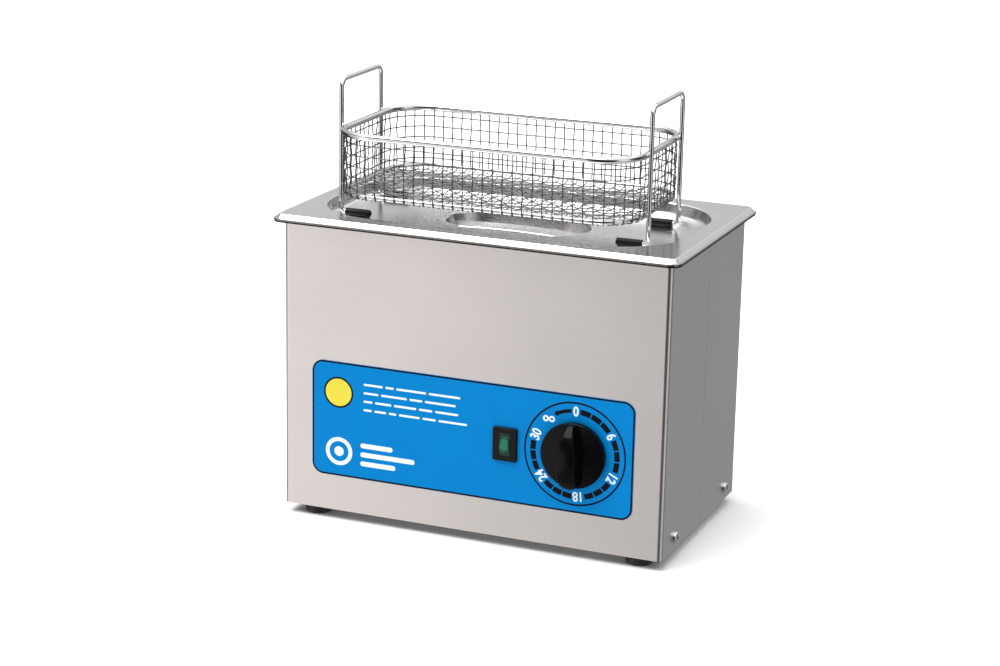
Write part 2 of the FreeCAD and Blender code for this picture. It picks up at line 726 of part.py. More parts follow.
def timer_knob():
    """A round skirt with a tapered grip bar that points at the dial; hollow underneath."""
    radius = knob_diameter / 2
    crown = knob_skirt + 2.0
    profile = Part.Wire([
        Part.makeLine(Vector(0, 0, 0), Vector(radius - 0.4, 0, 0)),
        Part.makeLine(Vector(radius - 0.4, 0, 0), Vector(radius, 0, knob_skirt - 1.2)),
        Part.Arc(Vector(radius, 0, knob_skirt - 1.2), Vector(radius - 0.35, 0, knob_skirt - 0.35),
                 Vector(radius - 1.2, 0, knob_skirt)).toShape(),
        Part.makeLine(Vector(radius - 1.2, 0, knob_skirt), Vector(0, 0, crown)),
        Part.makeLine(Vector(0, 0, crown), Vector(0, 0, 0)),
    ])
    skirt = Part.Face(profile).revolve(Vector(0, 0, 0), Z, 360)

    tip, waist, tail = 1.9, 6.6, 5.6   # half widths of the grip from its pointer end to its far end
    reach = radius - 0.9
    heel = -reach * 0.86
    outline = Part.Wire([
        Part.makeLine(Vector(-tip, reach, 0), Vector(-waist, 3, 0)),
        Part.makeLine(Vector(-waist, 3, 0), Vector(-tail, heel, 0)),
        Part.Arc(Vector(-tail, heel, 0), Vector(0, -reach, 0), Vector(tail, heel, 0)).toShape(),
        Part.makeLine(Vector(tail, heel, 0), Vector(waist, 3, 0)),
        Part.makeLine(Vector(waist, 3, 0), Vector(tip, reach, 0)),
        Part.Arc(Vector(tip, reach, 0), Vector(0, reach + 0.4, 0), Vector(-tip, reach, 0)).toShape(),
    ])
    grip = Part.Face(outline).extrude(Vector(0, 0, knob_height))
    brow = 9.0                 # height left at the pointer's end
    dome_radius = (reach ** 2 + (knob_height - brow) ** 2) / (2 * (knob_height - brow))
    dome = Part.makeSphere(dome_radius, Vector(0, 0, knob_height - dome_radius))
    grip = grip.common(dome)
    crest = [e for e in grip.Edges if e.BoundBox.ZMax > brow - 1.5 and e.BoundBox.ZMin > 1]
    grip = grip.makeFillet(0.7, crest)

    cavity_depth = 3.4
    cavity = Part.makeCylinder(radius - 2.2, cavity_depth)
    boss = Part.makeCylinder(6.0, cavity_depth, Vector(0, 0, 3.2))
    bore_low = 3.0
    bore_length = shaft_reach + front - knob_base + 0.6 - bore_low
    bore = Part.makeCylinder(shaft_diameter / 2 + touch, bore_length, Vector(0, 0, bore_low))
    flat = centred_block(shaft_diameter + 1, shaft_diameter, bore_length + 2,
                         (0, shaft_flat - touch - shaft_diameter, bore_low - 1))
    knob = skirt.fuse(grip).removeSplitter().cut(cavity).fuse(boss).cut(bore.cut(flat))
    return facing_front(knob, dial_x, panel_z, knob_base)


# ---------------------------------------------------------------- transducers


def transducer(side):
    """A bolted stack under the tank floor: horn, two piezo rings with electrodes, back mass, bolt."""
    x = side * stack_x
    level = tank_under_z
    horn = Part.makeCone(horn_neck, horn_face, horn_height - horn_band, Vector(x, 0, level - horn_height))
    band = Part.makeCylinder(horn_face, horn_band, Vector(x, 0, level - horn_band))
    horn = horn.fuse(band).removeSplitter()
    level -= horn_height
    bolt_hole = Part.makeCylinder(stack_bolt + touch, horn_tapped, Vector(x, 0, level))
    horn = horn.cut(bolt_hole)
    plates = []
    rings = []
    for layer in range(2):
        level -= electrode
        plates.append(electrode_plate(x, level, layer))
        level -= ring_height
        ring = Part.makeCylinder(ring_radius, ring_height, Vector(x, 0, level))
        rings.append(ring.cut(Part.makeCylinder(ring_bore, ring_height, Vector(x, 0, level))))
    level -= electrode
    plates.append(electrode_plate(x, level, 2))
    level -= back_mass_height
    mass = Part.makeCylinder(ring_radius, back_mass_height, Vector(x, 0, level))
    mass = mass.makeFillet(0.8, level_edges(mass, level))
    mass = mass.cut(Part.makeCylinder(stack_bolt + touch, back_mass_height, Vector(x, 0, level)))
    shank = tank_under_z - horn_height + horn_tapped - 1 - level
    head = Part.makeCylinder(stack_bolt_head, stack_head_height, Vector(x, 0, level - stack_head_height))
    head = head.makeFillet(0.7, level_edges(head, level - stack_head_height))
    socket = put(hexagon_bar(8.0, 3.5), (x, 0, level - stack_head_height))
    bolt = head.cut(socket).fuse(Part.makeCylinder(stack_bolt, shank, Vector(x, 0, level))).removeSplitter()
    return horn, rings, plates, mass, bolt


def electrode_plate(x, level, layer):
    """A thin brass ring with a solder tab that points to the rear."""
    disc = Part.makeCylinder(ring_radius, electrode, Vector(x, 0, level))
    tab = centred_block(*electrode_tab, electrode, (x + electrode_step * (layer - 1), ring_radius + 2, level))
    return disc.fuse(tab).removeSplitter().cut(Part.makeCylinder(ring_bore, electrode, Vector(x, 0, level)))


# ---------------------------------------------------------------- circuit board


def on_board(x, y):
    return (board_middle[0] + x, board_middle[1] + y, board_top)


def generator_board():
    board = prism(board_size[0], board_size[1], 2.0, board_bottom, board_top)
    board.translate(Vector(board_middle[0], board_middle[1], 0))
    holes = [rod(board_screw / 2 + screw_play, (x, y, board_bottom - 1), (x, y, board_top + 1))
             for x, y in board_corners()]
    return board.cut(holes)


def board_fixings():
    standoffs = []
    screws = []
    for x, y in board_corners():
        post = hexagon(6.0, standoff_height, board_screw + 2 * touch)
        standoffs.append(put(post, (x, y, base_top)))
        screws.append(put(screw(board_screw, board_size[2] + 5.0, 2.8, 1.8), (x, y, board_top)))
    return standoffs, screws


def transformer():
    """A ferrite double-E core standing on the board, and the coil on its middle limb."""
    x, y, z = on_board(58, 4)
    yoke = (core_height - window_height) / 2
    width = core_limb + 2 * window_width + core_limb
    core = centred_block(width, core_depth, core_height, (x, y, z))
    for side in (-1, 1):
        middle = x + side * (core_limb + window_width) / 2
        core = core.cut(centred_block(window_width, core_depth + 2, window_height, (middle, y, z + yoke)))
    build = window_width - 1
    coil = centred_block(core_limb + 2 * build, core_depth + 2 * build, window_height - 1,
                         (x, y, z + yoke + 0.5))
    coil = coil.makeFillet(2.5, [e for e in coil.Edges if e.BoundBox.ZLength > 5])
    room = centred_block(core_limb + 2 * touch, core_depth + 2 * touch, core_height, (x, y, z))
    return core, coil.cut(room)


def choke():
    """A ring core lying on the board, wound over most of its turn."""
    x, y, z = on_board(-6, -7)
    outer, bore, height, winding = 13.0, 7.0, 10.0, 1.6
    low = z + winding + 0.3
    core = Part.makeCylinder(outer, height, Vector(x, y, low))
    core = core.cut(Part.makeCylinder(bore, height, Vector(x, y, low)))
    section = Part.makePolygon([
        Vector(bore - winding, 0, -winding), Vector(outer + winding, 0, -winding),
        Vector(outer + winding, 0, height + winding), Vector(bore - winding, 0, height + winding),
        Vector(bore - winding, 0, -winding)])
    wrap = Part.Face(section).revolve(Vector(0, 0, 0), Z, 300)
    wrap.translate(Vector(x, y, low))
    return core, wrap.cut(core)


def smoothing_capacitor():
    radius, height = 11.0, 35.0
    foot = Vector(*on_board(-41, 1))
    can = Part.makeCylinder(radius, height, foot)
    can = can.makeFillet(1.5, level_edges(can, board_top + height))
    return can.cut(Part.makeTorus(radius + 0.4, 0.9, foot + Vector(0, 0, 4)))


def film_capacitors():
    """Two boxed film capacitors between the choke and the transformer."""
    pieces = []
    for x in (18, 30):
        case = centred_block(8.0, 18.0, 15.0, on_board(x, -14))
        pieces.append(case.makeFillet(0.8, [e for e in case.Edges if e.BoundBox.ZLength > 5]))
    return pieces


def heatsink():
    """A finned extrusion standing along the board's rear edge."""
    x, y, z = on_board(*sink_middle)
    sink = centred_block(sink_length, sink_base, sink_height, (x, y, z))
    pitch = (sink_length - 2) / (sink_fins - 1)
    blades = []
    for k in range(sink_fins):
        blade_x = x - sink_length / 2 + 1 + k * pitch
        blades.append(centred_block(1.6, sink_fin, sink_height, (blade_x, y + (sink_base + sink_fin) / 2, z)))
    return sink.fuse(blades).removeSplitter()


def power_transistors():
    """Two switching transistors flat against the heatsink, standing on their legs."""
    case = (15.6, 5.0, 20.0)
    leg_pitch = 5.4
    row = sink_middle[1] - sink_base / 2 - case[1] / 2 - touch
    pieces = []
    for side in (-1, 1):
        x, y, z = on_board(sink_middle[0] + side * sink_length / 4, row)
        body = centred_block(*case, (x, y, z + 8))
        eye = rod(1.8, (x, y - 4, z + 23), (x, y + 4, z + 23))
        legs = [centred_block(1.2, 0.6, 9.0, (x + k * leg_pitch, y, z)) for k in (-1, 0, 1)]
        pieces.append(body.cut(eye).fuse(legs).removeSplitter())
    return pieces


def bridge_rectifier():
    """A flat four-legged block with an eye, standing at the board's rear left corner."""
    x, y, z = on_board(-46, 20)
    leg_pitch = 5.0
    body = centred_block(20.0, 6.0, 17.0, (x, y, z + 4))
    body = body.cut(rod(1.8, (x, y - 4, z + 15), (x, y + 4, z + 15)))
    legs = [centred_block(1.0, 1.0, 5.0, (x + (k - 1.5) * leg_pitch, y, z)) for k in range(4)]
    return body.fuse(legs).removeSplitter()


def terminal_block():
    """A row of screw terminals along the board's left end."""
    x, y, z = on_board(*block_middle)
    body = centred_block(*block_size, (x, y, z))
    cuts = []
    for k in range(block_ways):
        way = y + (k - (block_ways - 1) / 2) * block_pitch
        cuts.append(rod(2.1, (x + 1, way, z + 7), (x + 1, way, z + 14)))
        cuts.append(centred_block(5.0, 4.6, 5.0, (x - 4, way, z + 1.5)))
    return body.cut(cuts)


# ---------------------------------------------------------------- mains inlet and earth


def facing_rear(shape, x, z, y):
    """Place a piece drawn upright at the origin so that its +Z points out of the rear wall."""
    return moved_by(shape, (x, y, z), Rotation(Z, 180).multiply(Rotation(X, 90)))


def inlet_pieces():
    """An appliance inlet with three pins and a fuse drawer below its socket."""
    flange = prism(inlet_flange[0], inlet_flange[1], 3.0, 0, inlet_flange[2])
    flange = flange.makeFillet(0.8, level_edges(flange, inlet_flange[2]))
    length, depth, height = inlet_body_size
    body = flange.fuse(centred_block(length, height, depth, (0, 0, -depth))).removeSplitter()
    socket = centred_block(*socket_size, socket_depth + 1, (0, socket_middle, inlet_flange[2] - socket_depth))
    top = [e for e in socket.Edges if e.BoundBox.ZLength > 5 and e.BoundBox.YMin > socket_middle]
    socket = socket.makeChamfer(4.5, top)
    drawer_low = inlet_flange[2] - drawer_depth
    drawer_room = centred_block(*drawer_size, drawer_depth + 2, (0, drawer_middle, drawer_low - 1))
    cuts = [socket, drawer_room]
    pins = []
    for x, rise in ((-pin_spread, -pin_rise), (pin_spread, -pin_rise), (0, pin_rise)):
        y = socket_middle + rise
        cuts.append(centred_block(inlet_pin[0] + 2 * touch, inlet_pin[1] + 2 * touch, depth, (x, y, -depth)))
        pins.append(centred_block(*inlet_pin, depth + pin_reach, (x, y, -depth - pin_reach)))
    screws = []
    nuts = []
    for side in (-1, 1):
        x = side * inlet_screw_pitch / 2
        cuts.append(Part.makeCylinder(inlet_screw / 2 + screw_play, 6, Vector(x, 0, -1)))
        screws.append(put(screw(inlet_screw, 9.0, 2.8, 1.8), (x, 0, inlet_flange[2])))
        nuts.append(put(hexagon(5.5, 2.4, inlet_screw + 2 * touch), (x, 0, -casing_sheet - 2.4)))
    drawer_play = 0.4
    drawer = centred_block(drawer_size[0] - drawer_play, drawer_size[1] - drawer_play, drawer_depth,
                           (0, drawer_middle, drawer_low))
    grip = centred_block(7.0, 1.2, 1.0, (0, drawer_middle + 1.6, inlet_flange[2] - 1))
    drawer = drawer.cut(grip)
    groups = ([body.cut(cuts)], pins, screws, nuts, [drawer])
    return [[facing_rear(piece, inlet_x, inlet_z, rear) for piece in group] for group in groups]


def earth_stud():
    """An earth bolt through the base plate, with two nuts and a ring tag between them."""
    x, y = earth_at
    bolt = put(screw(stud, 15.0, 3.8, 2.0), (x, y, base_bottom), -Z)
    lower = put(hexagon(7.0, tag_height, stud + 2 * touch), (x, y, base_top))
    level = base_top + tag_height
    tongue = 9.0
    tag = Part.makeCylinder(4.2, tag_sheet, Vector(x, y, level))
    tongue_middle = y + tag_reach - tongue / 2
    tag = tag.fuse(centred_block(3.0, tongue, tag_sheet, (x, tongue_middle, level))).removeSplitter()
    tag = tag.cut(Part.makeCylinder(stud / 2 + touch, 2, Vector(x, y, level - 0.2)))
    upper = put(hexagon(7.0, 3.2, stud + 2 * touch), (x, y, level + tag_sheet))
    return [bolt, lower, tag, upper]


# ---------------------------------------------------------------- internal wiring

def leads(routes):
    """One insulated wire for each route, with the same bend at every corner."""
    return [wire_rod(route, [lead_bend] * (len(route) - 2), lead) for route in routes]


def block_way(k):
    """Where a wire meets the terminal block: the k-th entry in its left face."""
    x, y, z = on_board(*block_middle)
    return (x - block_size[0] / 2 - lead_end, y + (k - (block_ways - 1) / 2) * block_pitch, z + 4.0)


def beside(point, y=0, x=0):
    """A point moved along Y or X, where a wire still runs straight out of its end."""
    return (point[0] + x, point[1] + y, point[2])


def timer_tab_tip(side, row):
    """Just behind one of the timer's four tabs."""
    y = front + casing_sheet + timer_size[1] + tab_reach + lead_end
    return (dial_x + side * timer_tab_at[0], y, panel_z + row * timer_tab_at[1])


def mains_leads():
    """Live to the timer, switched live and neutral to the terminal block, and earth to the stud."""
    back = rear - inlet_body_size[1] - pin_reach - lead_end
    live_pin = (inlet_x - pin_spread, back, inlet_z + socket_middle - pin_rise)
    neutral_pin = (inlet_x + pin_spread, back, inlet_z + socket_middle - pin_rise)
    earth_pin = (inlet_x, back, inlet_z + socket_middle + pin_rise)
    live_tab = timer_tab_tip(-1, -1)
    switched_tab = timer_tab_tip(1, -1)
    tag_tip = (earth_at[0], earth_at[1] + tag_reach + lead_end, base_top + tag_height + tag_sheet / 2)
    live = [live_pin, beside(live_pin, -13), (-101, 6, 30), (-96, -32, floor_z), (-80, -55, floor_z),
            (28, -55, floor_z), (live_tab[0], -27, 17), beside(live_tab, 7.2), live_tab]
    switched = [switched_tab, beside(switched_tab, 7.2), (switched_tab[0], -27, floor_z), (36, -44, floor_z),
                (-44, -36, floor_z), (-66, -4, floor_z), beside(block_way(0), x=-12), block_way(0)]
    neutral = [neutral_pin, beside(neutral_pin, -11), (-73, 25, 32), beside(block_way(2), x=-11), block_way(2)]
    earth = [earth_pin, beside(earth_pin, -10), (-109, 35, 52), (-107, 52, 18), beside(tag_tip, 12), tag_tip]
    return leads([live, switched, neutral, earth])


def lamp_leads():
    """From the timer's upper tab to the lamp, and from the lamp back to the terminal block."""
    lamp_tip = label_face + lamp_depth + tab_reach + lead_end
    near_tab = (lamp_x + lamp_tab_x, lamp_tip, panel_z)
    far_tab = (lamp_x - lamp_tab_x, lamp_tip, panel_z)
    timer_tab = timer_tab_tip(-1, 1)
    feed = [timer_tab, beside(timer_tab, 7.2), (42, -26, 72), (near_tab[0], -34, panel_z), near_tab]
    back = [far_tab, beside(far_tab, 12), (8, -34, 34), (-22, -46, floor_z), (-54, -42, floor_z),
            (-72, -6, floor_z), (-68, 30, 17), beside(block_way(3), x=-9), block_way(3)]
    return leads([feed, back])


def transducer_leads():
    """A pair of wires from each stack's solder tabs down to the board."""
    first = tank_under_z - horn_height - electrode / 2
    pitch = ring_height + electrode
    tip = ring_radius + 2 + electrode_tab[1] / 2 + lead_end
    pads = board_top + lead_end
    routes = []
    for layer in (0, 1):
        x = stack_x + electrode_step * (layer - 1)
        z = first - layer * pitch
        routes.append([(x, tip, z), (x, 36, z), (x, 36, pads)])
    x = -stack_x
    z = first - pitch
    routes.append([(x, tip, z), (x, 39, z), (-33, 39, 48), (-32, 25, 36), (-32, 25, pads)])
    x += electrode_step
    z -= pitch
    routes.append([(x, tip, z), (x, 31, z), (-33, 16, 38), (-33, 16, pads)])
    return leads(routes)


def build():
    front_half, rear_half = casing_halves()
    export("casing_front", front_half)
    export("casing_rear", rear_half)
    export("seam_strips", *seam_strips())
    export("base_plate", base_plate())
    side_screws, side_nuts = side_fixings()
    export("base_screws", *side_screws)
    export("base_nuts", *side_nuts)
    feet, foot_screws, foot_nuts = feet_and_fixings()
    export("feet", *feet)
    export("foot_screws", *foot_screws)
    export("foot_nuts", *foot_nuts)
    export("tank", tank())
    export("tank_gasket", tank_gasket())
    export("lid", lid())
    export("lid_handle", lid_handle())
    export("basket_rim", set_down(basket_ring(0, rim_rise, rim_wire)))
    export("basket_base_ring", set_down(basket_ring(base_inset, base_rise, base_wire)))
    export("basket_mesh", set_down(basket_mesh()))
    export("basket_handle_left", set_down(basket_handle(-1)))
    export("basket_handle_right", set_down(basket_handle(1)))
    export("foot_sleeves", *[set_down(sleeve) for sleeve in foot_sleeves()])
    export("control_label", control_label())
    export("indicator_bezel", indicator_bezel())
    export("indicator_lens", indicator_lens())
    export("indicator_lamp", *indicator_lamp())
    export("timer_case", timer_case())
    export("timer_terminals", *timer_terminals())
    export("timer_nut", timer_nut())
    export("timer_shaft", timer_shaft())
    export("timer_knob", timer_knob())
    for side, word in ((-1, "left"), (1, "right")):
        horn, rings, plates, mass, bolt = transducer(side)
        export(f"horn_{word}", horn)
        export(f"piezo_rings_{word}", *rings)
        export(f"electrodes_{word}", *plates)
        export(f"back_mass_{word}", mass)
        export(f"stack_bolt_{word}", bolt)
    export("generator_board", generator_board())
    standoffs, board_screws = board_fixings()
    export("board_standoffs", *standoffs)
    export("board_screws", *board_screws)
    core, coil = transformer()
    export("transformer_core", core)
    export("transformer_winding", coil)
    ring, winding = choke()
    export("choke_core", ring)
    export("choke_winding", winding)
    export("smoothing_capacitor", smoothing_capacitor())
    export("film_capacitors", *film_capacitors())
    export("heatsink", heatsink())
    export("power_transistors", *power_transistors())
    export("bridge_rectifier", bridge_rectifier())
    export("terminal_block", terminal_block())
    body, pins, inlet_screws, inlet_nuts, drawer = inlet_pieces()
    export("inlet_body", *body)
    export("inlet_pins", *pins)
    export("inlet_screws", *inlet_screws)
    export("inlet_nuts", *inlet_nuts)
    export("fuse_drawer", *drawer)
    export("earth_stud", *earth_stud())
    export("mains_leads", *mains_leads())
    export("lamp_leads", *lamp_leads())
    export("transducer_leads", *transducer_leads())


build()
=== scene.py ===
"""The looks of a bench-top ultrasonic cleaner: lid on, and a wire basket standing on the lid.

Metres, in the CAD model's frame: +Z up, +X to the right and +Y to the back when facing the dial.
"""

import math

import bmesh
import bpy
from mathutils import Matrix, Vector


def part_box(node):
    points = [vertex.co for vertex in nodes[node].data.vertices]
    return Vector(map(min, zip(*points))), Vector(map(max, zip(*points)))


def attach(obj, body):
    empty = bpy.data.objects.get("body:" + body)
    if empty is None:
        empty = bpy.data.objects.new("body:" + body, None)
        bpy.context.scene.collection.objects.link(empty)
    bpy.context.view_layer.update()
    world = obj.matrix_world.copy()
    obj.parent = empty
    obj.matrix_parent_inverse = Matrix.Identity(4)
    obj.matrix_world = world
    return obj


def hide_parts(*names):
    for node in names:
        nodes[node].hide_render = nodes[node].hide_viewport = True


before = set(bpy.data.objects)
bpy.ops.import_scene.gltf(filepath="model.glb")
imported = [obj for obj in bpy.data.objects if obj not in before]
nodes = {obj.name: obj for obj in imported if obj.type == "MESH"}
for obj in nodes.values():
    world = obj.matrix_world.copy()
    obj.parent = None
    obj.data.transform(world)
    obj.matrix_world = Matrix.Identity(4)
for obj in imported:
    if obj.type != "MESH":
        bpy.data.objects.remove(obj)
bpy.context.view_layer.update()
MM = 0.001


# ---------------------------------------------------------------- camera

CAMERA_TARGET = Vector((-11.2, 6.8, 113.9)) * MM
CAMERA_DISTANCE = 1.58
CAMERA_AZIMUTH = math.radians(22.011)    # towards +X from the -Y axis
CAMERA_ELEVATION = math.radians(15.770)
CAMERA_ROLL = math.radians(1.202)
CAMERA_LENS = 89.31                      # millimetres
CAMERA_SENSOR = 36.0


def add_camera():
    camera = bpy.data.objects.new("camera", bpy.data.cameras.new("camera"))
    bpy.context.scene.collection.objects.link(camera)
    camera.data.lens = CAMERA_LENS
    camera.data.sensor_width = CAMERA_SENSOR
    away = Vector((
        math.sin(CAMERA_AZIMUTH) * math.cos(CAMERA_ELEVATION),
        -math.cos(CAMERA_AZIMUTH) * math.cos(CAMERA_ELEVATION),
        math.sin(CAMERA_ELEVATION),
    ))
    level = (-away).to_track_quat("-Z", "Y").to_matrix().to_4x4()
    roll = Matrix.Rotation(CAMERA_ROLL, 4, "Z")
    camera.matrix_world = Matrix.Translation(CAMERA_TARGET + away * CAMERA_DISTANCE) @ level @ roll
    bpy.context.scene.camera = camera


add_camera()


# ---------------------------------------------------------------- nodes and meshes, shared helpers


def add_node(tree, kind, inputs=(), **settings):
    """A shader node, with its settings and its input values or links given by name or number."""
    node = tree.nodes.new(kind)
    for key, value in settings.items():
        setattr(node, key, value)
    for key, value in dict(inputs).items():
        if isinstance(value, bpy.types.NodeSocket):
            tree.links.new(value, node.inputs[key])
        else:
            node.inputs[key].default_value = value
    return node


def surface(name, color, roughness, metallic=0.0, **sockets):
    """A material with one Principled shader, its even values set on the shader's own sockets."""
    material = bpy.data.materials.new(name)
    material.use_nodes = True
    shader = material.node_tree.nodes["Principled BSDF"]
    shader.inputs["Base Color"].default_value = (*color, 1)
    shader.inputs["Roughness"].default_value = roughness
    shader.inputs["Metallic"].default_value = metallic
    for key, value in sockets.items():
        shader.inputs[key.replace("_", " ")].default_value = value
    return material


def principled(material):
    return material.node_tree.nodes["Principled BSDF"]


def noise(material, stretch=(1, 1, 1), scale=100.0, detail=3.0, rough=0.55, distortion=0.0):
    """Noise over the object's own coordinates, stretched along its axes; gives its 0 to 1 socket."""
    tree = material.node_tree
    coords = add_node(tree, "ShaderNodeTexCoord")
    mapping = add_node(tree, "ShaderNodeMapping", {"Vector": coords.outputs["Object"], "Scale": stretch})
    texture = add_node(tree, "ShaderNodeTexNoise", {
        "Vector": mapping.outputs[0], "Scale": scale, "Detail": detail, "Roughness": rough,
        "Distortion": distortion})
    return texture.outputs["Fac"]


def spread(material, value, low, high, start=0.3, end=0.7):
    """Map a 0 to 1 socket onto low..high, taking start..end as its usual reach."""
    node = add_node(material.node_tree, "ShaderNodeMapRange", {
        "Value": value, "From Min": start, "From Max": end, "To Min": low, "To Max": high})
    return node.outputs["Result"]


def blend_values(material, factor, a, b):
    node = add_node(material.node_tree, "ShaderNodeMix", {0: factor, 2: a, 3: b}, data_type="FLOAT")
    return node.outputs[0]


def tint(material, factor, dark, light):
    """Colour the surface between two shades by a 0 to 1 socket."""
    ramp = add_node(material.node_tree, "ShaderNodeValToRGB", {0: factor})
    ramp.color_ramp.elements[0].position = 0.3
    ramp.color_ramp.elements[1].position = 0.7
    ramp.color_ramp.elements[0].color = (*dark, 1)
    ramp.color_ramp.elements[1].color = (*light, 1)
    material.node_tree.links.new(ramp.outputs["Color"], principled(material).inputs["Base Color"])


def roughen(material, socket):
    material.node_tree.links.new(socket, principled(material).inputs["Roughness"])


def relief(material, height, depth, strength=1.0):
    """Raise the surface by height times depth, in metres."""
    bump = add_node(material.node_tree, "ShaderNodeBump", {
        "Height": height, "Distance": depth, "Strength": strength})
    material.node_tree.links.new(bump.outputs[0], principled(material).inputs["Normal"])


def add_object(name, mesh, body, material, smooth=True):
    """Link a finished mesh as a piece that rides on a body."""
    piece = bpy.data.objects.new(name, mesh)
    bpy.context.scene.collection.objects.link(piece)
    for polygon in mesh.polygons:
        polygon.use_smooth = smooth
    mesh.materials.append(material)
    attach(piece, body)
    return piece


def dress(material, *names):
    """Give CAD nodes a material."""
    for name in names:
        mesh = nodes[name].data
        mesh.materials.clear()
        mesh.materials.append(material)


# ---------------------------------------------------------------- studio

# Soft lights and dark flags round the object: direction, the cosines where it starts and is full, and colour
STUDIO_BASE = (0.30, 0.30, 0.305)
STUDIO_LIGHTS = (
    ((0.0, 0.0, 1.0), 0.42, 0.75, (1.00, 1.00, 1.02)),          # overhead
    ((-0.72, -0.62, -0.22), 0.74, 1.00, (1.34, 1.245, 1.20)),   # low key, front left
    ((-0.55, 0.80, 0.25), 0.55, 1.00, (0.34, 0.34, 0.35)),      # wall behind, on the left
    ((0.95, -0.25, 0.0), 0.80, 0.97, (0.75, 0.75, 0.77)),       # strip, right
    ((0.25, 0.85, 0.50), 0.90, 0.99, (0.55, 0.55, 0.56)),       # high panel behind, on the right
    ((0.30, 0.91, -0.28), 0.80, 0.98, (0.06, 0.06, 0.065)),     # low wall behind, on the right
)
STUDIO_FLAGS = (
    ((0.38, -0.90, -0.10), 0.74, 0.90, (0.10, 0.10, 0.10)),     # dark room behind the camera
    ((-0.20, -0.80, 0.55), 0.86, 0.97, (0.35, 0.35, 0.35)),     # dark ceiling, front
    ((-0.86, -0.47, -0.20), 0.90, 0.99, (0.50, 0.50, 0.50)),    # shade beside the key
    ((-0.88, 0.37, -0.25), 0.84, 0.95, (0.12, 0.12, 0.12)),     # dark wall, left
    ((0.93, 0.32, 0.05), 0.86, 0.95, (0.12, 0.12, 0.12)),       # dark wall, right
)
FLOOR_REACH = 12.0
SUN_ENERGY = 3.0
SUN_ANGLE = math.radians(50)
SUN_TOWARDS = Vector((0.30, 0.30, -1.0))


def facing(tree, direction, vector, start, end):
    """1 near a direction and 0 away from it, between the cosines start and end."""
    dot = add_node(tree, "ShaderNodeVectorMath", {0: vector, 1: Vector(direction).normalized()},
                   operation="DOT_PRODUCT")
    ramp = add_node(tree, "ShaderNodeMapRange", {
        "Value": dot.outputs["Value"], "From Min": start, "From Max": end}, interpolation_type="SMOOTHSTEP")
    return ramp.outputs["Result"]


def add_world():
    world = bpy.data.worlds.new("studio")
    bpy.context.scene.world = world
    world.use_nodes = True
    tree = world.node_tree
    direction = add_node(tree, "ShaderNodeTexCoord").outputs["Generated"]
    light = add_node(tree, "ShaderNodeRGB").outputs[0]
    light.default_value = (*STUDIO_BASE, 1)
    for mode, lobes in (("ADD", STUDIO_LIGHTS), ("MULTIPLY", STUDIO_FLAGS)):
        for towards, start, end, color in lobes:
            mix = add_node(tree, "ShaderNodeMix", {
                0: facing(tree, towards, direction, start, end), 6: light, 7: (*color, 1)},
                data_type="RGBA", blend_type=mode, clamp_result=False)
            light = mix.outputs[2]
    tree.links.new(light, tree.nodes["Background"].inputs["Color"])


def add_floor():
    mesh = bpy.data.meshes.new("floor")
    corners = [(x * FLOOR_REACH, y * FLOOR_REACH, 0) for x, y in ((-1, -1), (1, -1), (1, 1), (-1, 1))]
    mesh.from_pydata(corners, [], [(0, 1, 2, 3)])
    floor = bpy.data.objects.new("floor", mesh)
    bpy.context.scene.collection.objects.link(floor)
    floor.visible_glossy = False
    paint = surface("floor_paint", (0.92, 0.92, 0.92), 0.9)
    tint(paint, noise(paint, scale=3.0), (0.91, 0.91, 0.91), (0.93, 0.93, 0.93))
    mesh.materials.append(paint)


def add_sun():
    sun = bpy.data.objects.new("sun", bpy.data.lights.new("sun", "SUN"))
    bpy.context.scene.collection.objects.link(sun)
    sun.data.energy = SUN_ENERGY
    sun.data.angle = SUN_ANGLE
    sun.matrix_world = SUN_TOWARDS.to_track_quat("-Z", "Y").to_matrix().to_4x4()


bpy.context.scene.view_settings.view_transform = "Standard"
add_world()
add_floor()
add_sun()


# ---------------------------------------------------------------- materials


def brushed_steel(name, color, roughness, depth):
    """Sheet brushed along its length at the front and back, and upright at the sides."""
    material = surface(name, color, roughness, 1.0)
    tree = material.node_tree
    along = noise(material, (24, 24, 800), 1.0, 4.0)
    upright = noise(material, (24, 800, 24), 1.0, 4.0)
    geometry = add_node(tree, "ShaderNodeNewGeometry")
    normal = add_node(tree, "ShaderNodeSeparateXYZ", {0: geometry.outputs["Normal"]})
    sideways = add_node(tree, "ShaderNodeMath", {0: normal.outputs["X"]}, operation="ABSOLUTE")
    brush = blend_values(material, sideways.outputs[0], along, upright)
    cloud = noise(material, scale=9.0, detail=2.0)
    tint(material, brush, tuple(0.975 * c for c in color), tuple(min(1.0, 1.02 * c) for c in color))
    mixed = blend_values(material, 0.5, brush, cloud)
    roughen(material, spread(material, mixed, roughness - 0.04, roughness + 0.04))
    relief(material, brush, depth)
    return material


def polished_steel(name, color, roughness, wave=0.00002):
    """Bright sheet or wire: faint clouding in the polish, fine scratches and slight waviness."""
    material = surface(name, color, roughness, 1.0)
    cloud = noise(material, scale=35.0, detail=3.0)
    scratch = noise(material, (60, 900, 60), 1.0, 5.0, distortion=0.4)
    mixed = blend_values(material, 0.5, cloud, scratch)
    roughen(material, spread(material, mixed, roughness * 0.6, roughness * 1.5))
    tint(material, cloud, tuple(0.95 * c for c in color), color)
    relief(material, noise(material, scale=28.0, detail=1.0), wave)
    return material


